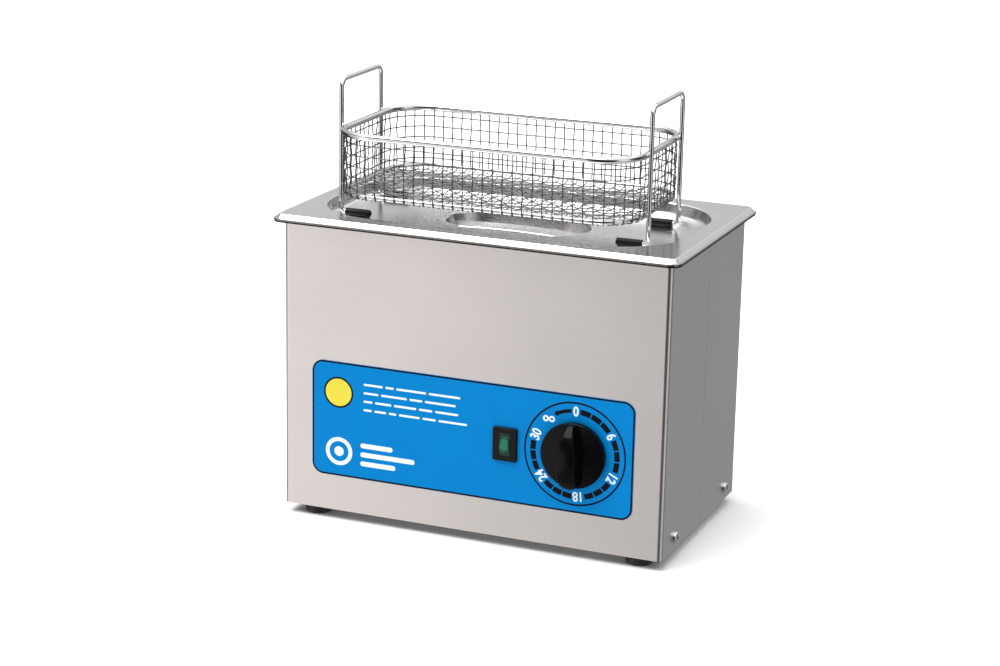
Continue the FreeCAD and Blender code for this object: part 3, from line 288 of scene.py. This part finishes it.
def moulded(name, color, roughness, grain=0.000004, speckle=900.0, patch=0.12, shine=0.5):
    """Moulded plastic or rubber: fine grain in its relief, patchy gloss and a slightly patchy shade."""
    material = surface(name, color, roughness, Specular_IOR_Level=shine)
    cloud = noise(material, scale=60.0)
    darker = tuple((1 - patch) * c for c in color)
    lighter = tuple(min(1.0, (1 + patch) * c) for c in color)
    tint(material, cloud, darker, lighter)
    roughen(material, spread(material, cloud, roughness * 0.85, roughness * 1.15))
    relief(material, noise(material, scale=speckle, detail=2.0), grain)
    return material


def painted_rim_shade(material, node, sheet, color):
    """Painted shade: darken the upright faces round the top of a node that is pressed from sheet."""
    tree = material.node_tree
    _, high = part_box(node)
    coords = add_node(tree, "ShaderNodeTexCoord")
    spot = add_node(tree, "ShaderNodeSeparateXYZ", {0: coords.outputs["Object"]})
    normal = add_node(tree, "ShaderNodeSeparateXYZ", {0: coords.outputs["Normal"]})
    upper = add_node(tree, "ShaderNodeMapRange", {
        "Value": spot.outputs["Z"], "From Min": high.z - 1.1 * sheet, "From Max": high.z - sheet})
    level = add_node(tree, "ShaderNodeMath", {0: normal.outputs["Z"]}, operation="ABSOLUTE")
    upright = add_node(tree, "ShaderNodeMapRange", {
        "Value": level.outputs[0], "From Min": 0.75, "From Max": 0.25})
    # painted shade, full on upright faces within the top sheet's thickness
    painted_shade = add_node(tree, "ShaderNodeMath", {0: upper.outputs[0], 1: upright.outputs[0]}, operation="MULTIPLY")
    base = principled(material).inputs["Base Color"]
    shade = add_node(tree, "ShaderNodeMix", {0: painted_shade.outputs[0], 6: base.links[0].from_socket, 7: (*color, 1)},
                     data_type="RGBA")
    tree.links.new(shade.outputs[2], base)


def lens_with_painted_glow(name, dark, bright, roughness):
    """The lamp's window with painted light: painted shade near its frame, and a painted glow over the lamp
    behind its middle.
    """
    material = moulded(name, dark, roughness, shine=0.3)
    tree = material.node_tree
    low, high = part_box("indicator_lens")
    coords = add_node(tree, "ShaderNodeTexCoord")
    local = add_node(tree, "ShaderNodeMapping", {
        "Vector": coords.outputs["Object"], "Location": (low + high) / 2,
        "Scale": (high.x - low.x, 1.0, high.z - low.z)}, vector_type="TEXTURE")
    parts = add_node(tree, "ShaderNodeSeparateXYZ", {0: local.outputs[0]})
    flat = add_node(tree, "ShaderNodeCombineXYZ", {"X": parts.outputs["X"], "Z": parts.outputs["Z"]})
    away = add_node(tree, "ShaderNodeVectorMath", {0: flat.outputs[0]}, operation="LENGTH")
    uneven = spread(material, noise(material, scale=260.0), -0.06, 0.06)
    patchy = add_node(tree, "ShaderNodeMath", {0: away.outputs["Value"], 1: uneven}, operation="ADD")
    # painted glow in the middle, fading to painted shade towards the frame
    tint(material, spread(material, patchy.outputs[0], 1.0, 0.0, 0.08, 0.52), dark, bright)
    return material


RIM_SHEET = 1.2 * MM        # thickness of the tank's flat rim

casing_steel = brushed_steel("casing_steel", (0.72, 0.705, 0.695), 0.36, 0.000003)
inner_steel = brushed_steel("inner_steel", (0.60, 0.60, 0.595), 0.42, 0.000004)
tank_steel = brushed_steel("tank_steel", (0.58, 0.575, 0.57), 0.33, 0.000002)
# painted shade on the tank's upright rim edge, darkened to this colour
painted_rim_shade(tank_steel, "tank", RIM_SHEET, (0.22, 0.215, 0.21))
lid_steel = polished_steel("lid_steel", (0.77, 0.77, 0.775), 0.19, 0.000007)
wire_steel = polished_steel("wire_steel", (0.74, 0.735, 0.73), 0.10, 0.000003)
# painted shade: the woven mesh is far darker than the rim's steel, standing in for the shade within the weave
mesh_steel_painted_shade = polished_steel("mesh_steel_painted_shade", (0.17, 0.165, 0.16), 0.28, 0.000002)
screw_steel = polished_steel("screw_steel", (0.74, 0.74, 0.735), 0.2, 0.000002)
zinc = polished_steel("zinc", (0.66, 0.68, 0.70), 0.32, 0.000002)
foot_rubber = moulded("foot_rubber", (0.018, 0.018, 0.018), 0.6)
sleeve_rubber = moulded("sleeve_rubber", (0.004, 0.004, 0.004), 0.4, shine=0.22)
# black silicone seal; its near-black line under the tank's rim also stands in for the painted shadow there
seal_silicone = moulded("seal_silicone", (0.006, 0.006, 0.006), 0.7, shine=0.1)
knob_black = moulded("knob_black", (0.002, 0.002, 0.0025), 0.10, 0.0000006, 400.0, shine=0.10)
bezel_black = moulded("bezel_black", (0.003, 0.003, 0.004), 0.34, shine=0.2)
label_blue = moulded("label_blue", (0.0002, 0.188, 0.50), 0.55, 0.000001, 1400.0, patch=0.02, shine=0.05)
ink_black = moulded("ink_black", (0.002, 0.004, 0.008), 0.5, shine=0.12)
ink_white = moulded("ink_white", (0.76, 0.84, 0.91), 0.45, patch=0.03)
ink_yellow = moulded("ink_yellow", (0.72, 0.60, 0.028), 0.42, patch=0.03)
# painted glow and painted shade in the lens colour; nothing here emits light
lens_green = lens_with_painted_glow("lens_green", (0.001, 0.020, 0.013), (0.003, 0.15, 0.085), 0.2)
lamp_glass = surface("lamp_glass", (0.95, 0.85, 0.75), 0.05, 0.0, Transmission_Weight=1.0, IOR=1.47)
relief(lamp_glass, noise(lamp_glass, scale=300.0), 0.00001)
phenolic = moulded("phenolic", (0.03, 0.028, 0.026), 0.5)
brass = polished_steel("brass", (0.70, 0.52, 0.22), 0.28, 0.000002)
horn_aluminium = polished_steel("horn_aluminium", (0.76, 0.77, 0.78), 0.3, 0.000003)
piezo_ceramic = moulded("piezo_ceramic", (0.20, 0.17, 0.14), 0.5)
back_steel = polished_steel("back_steel", (0.5, 0.5, 0.5), 0.35, 0.000003)
black_oxide = polished_steel("black_oxide", (0.05, 0.05, 0.055), 0.4, 0.000003)
board_laminate = moulded("board_laminate", (0.012, 0.10, 0.035), 0.35)
ferrite = moulded("ferrite", (0.035, 0.035, 0.04), 0.65)
winding_tape = moulded("winding_tape", (0.62, 0.42, 0.05), 0.4)
copper_wire = polished_steel("copper_wire", (0.62, 0.25, 0.09), 0.3, 0.00003)
capacitor_sleeve = moulded("capacitor_sleeve", (0.012, 0.016, 0.04), 0.3)
film_box = moulded("film_box", (0.38, 0.03, 0.015), 0.4)
heatsink_metal = polished_steel("heatsink_metal", (0.10, 0.10, 0.105), 0.45, 0.000004)
terminal_plastic = moulded("terminal_plastic", (0.02, 0.14, 0.05), 0.45)
inlet_plastic = moulded("inlet_plastic", (0.015, 0.015, 0.015), 0.42)
lead_blue = moulded("lead_blue", (0.02, 0.06, 0.30), 0.45)
lead_black = moulded("lead_black", (0.012, 0.012, 0.012), 0.45)
lead_red = moulded("lead_red", (0.35, 0.012, 0.01), 0.45)

dress(casing_steel, "casing_front", "casing_rear")
dress(inner_steel, "seam_strips", "base_plate")
dress(tank_steel, "tank")
dress(lid_steel, "lid", "lid_handle")
dress(wire_steel, "basket_rim", "basket_base_ring", "basket_handle_left", "basket_handle_right")
dress(screw_steel, "base_screws", "foot_screws", "board_screws", "inlet_screws", "timer_shaft")
dress(zinc, "base_nuts", "foot_nuts", "timer_nut", "inlet_nuts")
dress(foot_rubber, "feet")
dress(sleeve_rubber, "foot_sleeves")
dress(seal_silicone, "tank_gasket")
dress(label_blue, "control_label")
dress(bezel_black, "indicator_bezel")
dress(lens_green, "indicator_lens")
dress(lamp_glass, "indicator_lamp")
dress(phenolic, "timer_case", "power_transistors", "bridge_rectifier")
dress(brass, "timer_terminals", "board_standoffs", "inlet_pins", "earth_stud",
      "electrodes_left", "electrodes_right")
dress(knob_black, "timer_knob")
dress(horn_aluminium, "horn_left", "horn_right")
dress(piezo_ceramic, "piezo_rings_left", "piezo_rings_right")
dress(back_steel, "back_mass_left", "back_mass_right")
dress(black_oxide, "stack_bolt_left", "stack_bolt_right")
dress(board_laminate, "generator_board")
dress(ferrite, "transformer_core", "choke_core")
dress(winding_tape, "transformer_winding")
dress(copper_wire, "choke_winding")
dress(capacitor_sleeve, "smoothing_capacitor")
dress(film_box, "film_capacitors")
dress(heatsink_metal, "heatsink")
dress(terminal_plastic, "terminal_block")
dress(inlet_plastic, "inlet_body", "fuse_drawer")
dress(lead_blue, "mains_leads")
dress(lead_black, "lamp_leads")
dress(lead_red, "transducer_leads")


# ---------------------------------------------------------------- woven basket mesh

WIRE_RADIUS = 0.40 * MM
MESH_PITCH = 6.45 * MM
LEVEL_PITCH = 7.0 * MM
LEVELS = 5                  # upright wires cross this many level wires between the two rings
RING_WIRE = 1.5 * MM        # radius of the lower ring
RIM_WIRE = 2.1 * MM         # radius of the top ring
BASKET_CORNER = 27.0 * MM
WIRE_SIDES = 6
WEAVE = 0.36 * MM           # how far a wire swings either side of the mesh's middle
WEAVE_STEPS = 4             # points along a wire from one crossing to the next
FIRST_LEVEL = 3.3 * MM      # highest level wire, below the rim wire
UPRIGHT_TOP = 1.2 * MM      # an upright's end, inside the rim wire
RIM_FLAT = 0.4 * MM         # an upright stays straight down to this far inside the rim wire
RIM_SETTLE = 2.0 * MM       # and takes up its swing over this length
RING_SETTLE = 0.9 * LEVEL_PITCH
FLOOR_SETTLE = 3.0 * MM
RING_FIT = 0.02 * MM
WRAP_POINTS = 6             # an upright bends in under the lower ring through these points
WRAP_STEP = math.radians(22)


def tube(mesh, points, radius, closed=False):
    """Sweep a round wire along points into a bmesh."""
    count = len(points)
    side = None
    rings = []
    for k in range(count):
        before = points[k - 1] if closed or k else points[k]
        after = points[(k + 1) % count] if closed or k < count - 1 else points[k]
        heading = (after - before).normalized()
        if side is None:
            side = heading.orthogonal().normalized()
        side = (side - heading * side.dot(heading)).normalized()
        across = heading.cross(side)
        ring = []
        for s in range(WIRE_SIDES):
            turn = 2 * math.pi * s / WIRE_SIDES
            outward = side * math.cos(turn) + across * math.sin(turn)
            ring.append(mesh.verts.new(points[k] + outward * radius))
        rings.append(ring)
    pairs = list(zip(rings, rings[1:]))
    if closed:
        pairs.append((rings[-1], rings[0]))
    for a, b in pairs:
        for s in range(WIRE_SIDES):
            t = (s + 1) % WIRE_SIDES
            mesh.faces.new((a[s], a[t], b[t], b[s]))
    if not closed:
        mesh.faces.new(list(reversed(rings[0])))
        mesh.faces.new(rings[-1])


class Outline:
    """A rounded rectangle round the origin, walked by the distance along it."""

    def __init__(self, half_x, half_y, radius):
        self.flat_x = half_x - radius
        self.flat_y = half_y - radius
        self.radius = radius
        quarter = radius * math.pi / 2
        self.legs = [2 * self.flat_y, quarter, 2 * self.flat_x, quarter] * 2
        self.length = sum(self.legs)

    def at(self, distance):
        """The point at a distance from the right side's front end, and the outward direction there."""
        distance %= self.length
        starts = ((1, -1), (1, 1), (1, 1), (-1, 1), (-1, 1), (-1, -1), (-1, -1), (1, -1))
        for leg, (length, (sx, sy)) in enumerate(zip(self.legs, starts)):
            if distance <= length:
                break
            distance -= length
        corner = Vector((sx * self.flat_x, sy * self.flat_y, 0))
        turn = math.radians(90) * (leg // 2)
        if leg % 2:
            turn += distance / self.radius
            outward = Vector((math.cos(turn), math.sin(turn), 0))
            return corner + outward * self.radius, outward
        outward = Vector((math.cos(turn), math.sin(turn), 0))
        along = Vector((-outward.y, outward.x, 0))
        return corner + outward * self.radius + along * distance, outward


def basket_placing():
    """Where the basket stands and how far it is turned, from the CAD boxes of its handles."""
    middles = []
    for side in ("left", "right"):
        low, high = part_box(f"basket_handle_{side}")
        middles.append((low + high) / 2)
    left, right = middles
    across = right - left
    yaw = math.atan2(across.y, across.x)
    return (left + right) / 2, yaw


def half_sizes(node, wire, yaw):
    """Half the length and depth of a turned round-cornered wire ring, from its CAD box."""
    low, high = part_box(node)
    reach = (high - low) / 2
    flat_x = reach.x - BASKET_CORNER - wire
    flat_y = reach.y - BASKET_CORNER - wire
    c, s = math.cos(yaw), math.sin(yaw)
    length = (c * flat_x - s * flat_y) / (c * c - s * s)
    depth = (c * flat_y - s * flat_x) / (c * c - s * s)
    return length + BASKET_CORNER, depth + BASKET_CORNER


def smooth_step(value):
    value = min(1.0, max(0.0, value))
    return value * value * (3 - 2 * value)


def upright_route(point, outward, phase, high, first_level, ring_z, ring_inset):
    """An upright's middle line: out of the rim, across the levels and in under the lower ring."""
    route = []
    z = high + UPRIGHT_TOP
    while z > ring_z:
        swing = math.cos(math.pi * (first_level - z) / LEVEL_PITCH) * WEAVE * phase
        settle = smooth_step((z - ring_z) / RING_SETTLE)
        under_rim = smooth_step((high + RIM_FLAT - z) / RIM_SETTLE)
        route.append(point + outward * (swing * settle * under_rim) + Vector((0, 0, z)))
        z -= LEVEL_PITCH / WEAVE_STEPS
    centre = point - outward * ring_inset + Vector((0, 0, ring_z))
    for k in range(WRAP_POINTS):
        turn = WRAP_STEP * k
        route.append(centre + (outward * math.cos(turn) - Vector((0, 0, math.sin(turn)))) * ring_inset)
    return route


def weave_wall(mesh, outline, high, ring_z, ring_inset):
    """Upright wires that cross the level wires, and wrap round the lower ring."""
    count = 2 * round(outline.length / MESH_PITCH / 2)
    first_level = high - FIRST_LEVEL
    for k in range(count):
        point, outward = outline.at(outline.length * k / count)
        phase = 1 if k % 2 else -1
        tube(mesh, upright_route(point, outward, phase, high, first_level, ring_z, ring_inset), WIRE_RADIUS)
    for level in range(LEVELS):
        z = first_level - LEVEL_PITCH * level
        sign = -1 if level % 2 else 1
        route = []
        for k in range(count * WEAVE_STEPS):
            point, outward = outline.at(outline.length * k / (count * WEAVE_STEPS))
            swing = math.cos(math.pi * k / WEAVE_STEPS) * WEAVE * sign
            route.append(point + outward * swing + Vector((0, 0, z)))
        tube(mesh, route, WIRE_RADIUS, closed=True)


def reach_across(half_x, half_y, radius, offset):
    """Half the length of a chord through a rounded rectangle, parallel to X, at a height offset in Y."""
    over = abs(offset) - (half_y - radius)
    if over <= 0:
        return half_x
    return half_x - radius + math.sqrt(max(0.0, radius * radius - over * over))


def weave_floor(mesh, half_x, half_y, radius, z):
    """Crossing wires over the tray's floor, each ending under the lower ring."""
    columns = 2 * round(half_x / MESH_PITCH)
    rows = 2 * round(half_y / MESH_PITCH)
    step_x = 2 * half_x / columns
    step_y = 2 * half_y / rows
    for turned, count, step, across in ((False, rows, step_y, step_x), (True, columns, step_x, step_y)):
        for k in range(1, count):
            offset = (k - count / 2) * step
            if turned:
                reach = reach_across(half_y, half_x, radius, offset)
            else:
                reach = reach_across(half_x, half_y, radius, offset)
            pieces = max(2, int(2 * reach / across * WEAVE_STEPS))
            sign = (1 if k % 2 else -1) * (-1 if turned else 1)
            route = []
            for p in range(pieces + 1):
                along = -reach + 2 * reach * p / pieces
                settle = smooth_step((reach - abs(along)) / FLOOR_SETTLE)
                swing = sign * math.cos(math.pi * along / across) * WEAVE * settle
                spot = (offset, along) if turned else (along, offset)
                route.append(Vector((*spot, z + swing)))
            tube(mesh, route, WIRE_RADIUS)


def add_basket_weave():
    middle, yaw = basket_placing()
    half_x, half_y = half_sizes("basket_rim", RIM_WIRE, yaw)
    rim_low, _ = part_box("basket_rim")
    ring_low, ring_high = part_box("basket_base_ring")
    floor_low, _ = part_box("basket_mesh")
    inset = RING_WIRE + WIRE_RADIUS + RING_FIT
    mesh = bmesh.new()
    outline = Outline(half_x, half_y, BASKET_CORNER)
    weave_wall(mesh, outline, rim_low.z, (ring_low.z + ring_high.z) / 2, inset)
    weave_floor(mesh, half_x - inset, half_y - inset, BASKET_CORNER - inset, floor_low.z + WIRE_RADIUS)
    place = Matrix.Translation((middle.x, middle.y, 0)) @ Matrix.Rotation(yaw, 4, "Z")
    bmesh.ops.transform(mesh, matrix=place, verts=mesh.verts)
    data = bpy.data.meshes.new("basket_weave")
    mesh.to_mesh(data)
    mesh.free()
    weave = add_object("basket_weave", data, "basket", mesh_steel_painted_shade)
    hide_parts("basket_mesh")


add_basket_weave()


# ---------------------------------------------------------------- label printing

INK_THICKNESS = 0.05 * MM   # half of this stands proud of the label
BORDER_WIDTH = 1.1          # from here down to add_printing, in millimetres on the label
BORDER_EDGE = 0.1           # in from the label's edge
BORDER_CORNER = 7.4
DIAL_LINE_RADIUS = 32.9
DIAL_LINE_WIDTH = 1.1
BAND_RADIUS = 27.1
BAND_WIDTH = 3.5
BAND_PARTS = 3              # parts of the dark band between two numbers
BAND_GAP = 0.7
DIGIT_RADIUS = 26.7         # from the dial's middle to the middle of a number
DIGIT_HEIGHT = 6.5
DIGIT_CONDENSE = 0.80       # width and height kept of the built-in font's digits
DIGIT_SQUASH = 0.95
DIGIT_BOLD = 0.22
DIGIT_SPACING = 0.98
FONT_CAP = 0.73             # height of the built-in font's digits, as a part of its size
ONE_DIGIT_GAP = 6.0         # degrees kept free beside a number
TWO_DIGIT_GAP = 9.0
ARROW_ENDS = (-6.0, -25.5, -30.5)  # degrees at the shaft's start, the shaft's end and the tip
ARROW_SHAFT = 2.3           # widths
ARROW_HEAD = 4.2
DEGREES_PER_MARK = 58
DIAL_MARKS = ("0", "6", "12", "18", "24", "30")
CONTINUOUS_ANGLE = -40.6
CONTINUOUS_RADIUS = 26.5
LOOP_OUTER = 1.95           # radii of the continuous mark's two loops
LOOP_INNER = 0.85
DISC_MIDDLE = (-88.8, 17.6)
DISC_RADIUS = 8.9
DISC_EDGE = 1.2
ROW_LEFT = -71.5
ROW_TOP = 24.9
ROW_SPACING = 5.5
ROW_HEIGHT = 1.35
ROW_GAP = 1.9
ROWS = ((13, 5.5, 20, 21), (10, 17.5, 8.5, 20.5), (6, 11, 15, 9, 15.5), (5.5, 8, 5, 14, 9, 19))
BAR_LEFT = -73.5
BAR_TOP = -15.2
BAR_SPACING = 5.9
BAR_HEIGHT = 3.1
BAR_LENGTHS = (22.0, 37.0, 24.0)
BAR_ROUND = 0.45            # corner radius of a bar, as a part of its height
RING_MIDDLE = (-88.4, -21.0)
RING_OUTER = 9.2
RING_INNER = 6.6
DOT_RADIUS = 3.2


def arc(x, y, radius, start, end, steps=32):
    """Points on an arc; angles in degrees, clockwise from straight up."""
    turns = [math.radians(start + (end - start) * k / steps) for k in range(steps + 1)]
    return [(x + radius * math.sin(t), y + radius * math.cos(t)) for t in turns]


def circle(x, y, radius):
    return arc(x, y, radius, 0, 360, 96)[:-1]


def rounded(x, y, width, height, radius):
    """A rounded rectangle round a middle point."""
    dx, dy = width / 2 - radius, height / 2 - radius
    corners = ((dx, dy, 0), (dx, -dy, 90), (-dx, -dy, 180), (-dx, dy, 270))
    return [point for cx, cy, start in corners
            for point in arc(x + cx, y + cy, radius, start, start + 90, 12)]


def ring_part(x, y, radius, width, start, end):
    outer = arc(x, y, radius + width / 2, start, end)
    inner = arc(x, y, radius - width / 2, end, start)
    return outer + inner


def bar_row(left, y, height, words, space):
    """Plain round-ended bars of the given lengths, one after another."""
    bars = []
    for length in words:
        bars.append(rounded(left + length / 2, y, length, height, height * BAR_ROUND))
        left += length + space
    return bars


def stand_on_label(curve, ink, place=Matrix.Identity(4)):
    """Turn a flat curve into a thin printed piece on the face of the label."""
    holder = bpy.data.objects.new(curve.name, curve)
    mesh = bpy.data.meshes.new_from_object(holder)
    mesh.name = curve.name
    bpy.data.objects.remove(holder)
    low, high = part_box("control_label")
    face = Vector(((low.x + high.x) / 2, low.y, (low.z + high.z) / 2))
    mesh.transform(Matrix.Translation(face) @ Matrix.Rotation(math.radians(90), 4, "X") @ place)
    mesh.materials.clear()
    return add_object(curve.name, mesh, "cabinet", ink, smooth=False)


def printed(name, loops, ink):
    """Print closed outlines, in millimetres from the label's middle; a loop inside another is cut out."""
    curve = bpy.data.curves.new(name, "CURVE")
    curve.dimensions = "2D"
    curve.fill_mode = "BOTH"
    curve.extrude = INK_THICKNESS / 2
    for loop in loops:
        spline = curve.splines.new("POLY")
        spline.points.add(len(loop) - 1)
        for point, (x, y) in zip(spline.points, loop):
            point.co = (x * MM, y * MM, 0, 1)
        spline.use_cyclic_u = True
    return stand_on_label(curve, ink)


def numeral(name, text, x, y, angle):
    """Print a condensed number with its top turned clockwise from straight up."""
    curve = bpy.data.curves.new(name, "FONT")
    curve.body = text
    curve.align_x = "CENTER"
    curve.align_y = "CENTER"
    curve.extrude = INK_THICKNESS / 2
    curve.size = DIGIT_HEIGHT / FONT_CAP * MM
    curve.offset = DIGIT_BOLD * MM
    curve.space_character = DIGIT_SPACING
    place = (Matrix.Translation((x * MM, y * MM, 0)) @ Matrix.Rotation(math.radians(-angle), 4, "Z")
             @ Matrix.Diagonal((DIGIT_CONDENSE, DIGIT_SQUASH, 1, 1)))
    return stand_on_label(curve, ink_white, place)


def on_dial(x, y, radius, angle):
    """A point on the dial; the angle in degrees, clockwise from straight up."""
    turn = math.radians(angle)
    return x + radius * math.sin(turn), y + radius * math.cos(turn)


def number_gap(text):
    return ONE_DIGIT_GAP if len(text) == 1 else TWO_DIGIT_GAP


def dial_bands(x, y):
    """The dark band between each number and the next, in equal parts."""
    gap = math.degrees(BAND_GAP / BAND_RADIUS)
    bands = []
    for k, (text, following) in enumerate(zip(DIAL_MARKS, DIAL_MARKS[1:])):
        start = DEGREES_PER_MARK * k + number_gap(text)
        end = DEGREES_PER_MARK * (k + 1) - number_gap(following)
        part = (end - start - gap * (BAND_PARTS - 1)) / BAND_PARTS
        for p in range(BAND_PARTS):
            at = start + (part + gap) * p
            bands.append(ring_part(x, y, BAND_RADIUS, BAND_WIDTH, at, at + part))
    return bands


def dial_arrow(x, y):
    """A curved arrow from the 0 towards the continuous mark."""
    start, end, tip = ARROW_ENDS
    return [
        *arc(x, y, BAND_RADIUS + ARROW_SHAFT / 2, start, end),
        on_dial(x, y, BAND_RADIUS + ARROW_HEAD / 2, end),
        on_dial(x, y, BAND_RADIUS, tip),
        on_dial(x, y, BAND_RADIUS - ARROW_HEAD / 2, end),
        *arc(x, y, BAND_RADIUS - ARROW_SHAFT / 2, end, start),
    ]


def print_dial(x, y):
    line = [circle(x, y, DIAL_LINE_RADIUS), circle(x, y, DIAL_LINE_RADIUS - DIAL_LINE_WIDTH)]
    printed("dial_line", line, ink_black)
    printed("dial_bands", dial_bands(x, y), ink_black)
    printed("dial_arrow", [dial_arrow(x, y)], ink_black)
    for k, text in enumerate(DIAL_MARKS):
        angle = DEGREES_PER_MARK * k
        numeral(f"dial_number_{text}", text, *on_dial(x, y, DIGIT_RADIUS, angle), angle)
    cx, cy = on_dial(x, y, CONTINUOUS_RADIUS, CONTINUOUS_ANGLE)
    loops = [circle(cx + side * LOOP_OUTER, cy, radius)
             for radius in (LOOP_OUTER, LOOP_INNER) for side in (-1, 1)]
    printed("dial_continuous", loops, ink_white)


def print_border(width, height):
    inset = BORDER_EDGE + BORDER_WIDTH
    outer = rounded(0, 0, width - 2 * BORDER_EDGE, height - 2 * BORDER_EDGE, BORDER_CORNER)
    inner = rounded(0, 0, width - 2 * inset, height - 2 * inset, BORDER_CORNER - BORDER_WIDTH)
    printed("label_border", [outer, inner], ink_black)


def print_plain_marks():
    """Plain marks that stand where the label's own marks and lettering were."""
    disc = circle(*DISC_MIDDLE, DISC_RADIUS)
    printed("plain_disc", [disc], ink_yellow)
    printed("plain_disc_edge", [circle(*DISC_MIDDLE, DISC_RADIUS + DISC_EDGE), disc], ink_black)
    for k, words in enumerate(ROWS):
        row = bar_row(ROW_LEFT, ROW_TOP - ROW_SPACING * k, ROW_HEIGHT, words, ROW_GAP)
        printed(f"plain_row_{k + 1}", row, ink_white)
    for k, length in enumerate(BAR_LENGTHS):
        bar = bar_row(BAR_LEFT, BAR_TOP - BAR_SPACING * k, BAR_HEIGHT, (length,), 0)
        printed(f"plain_bar_{k + 1}", bar, ink_white)
    printed("plain_ring", [circle(*RING_MIDDLE, RING_OUTER), circle(*RING_MIDDLE, RING_INNER)], ink_white)
    printed("plain_dot", [circle(*RING_MIDDLE, DOT_RADIUS)], ink_white)


def add_printing():
    """Border, dial and plain marks; no lettering apart from the dial's numbers."""
    low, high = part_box("control_label")
    print_border((high.x - low.x) / MM, (high.z - low.z) / MM)
    shaft_low, shaft_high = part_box("timer_shaft")
    dial = ((shaft_low + shaft_high) / 2 - (low + high) / 2) / MM
    print_dial(dial.x, dial.z)
    print_plain_marks()


add_printing()
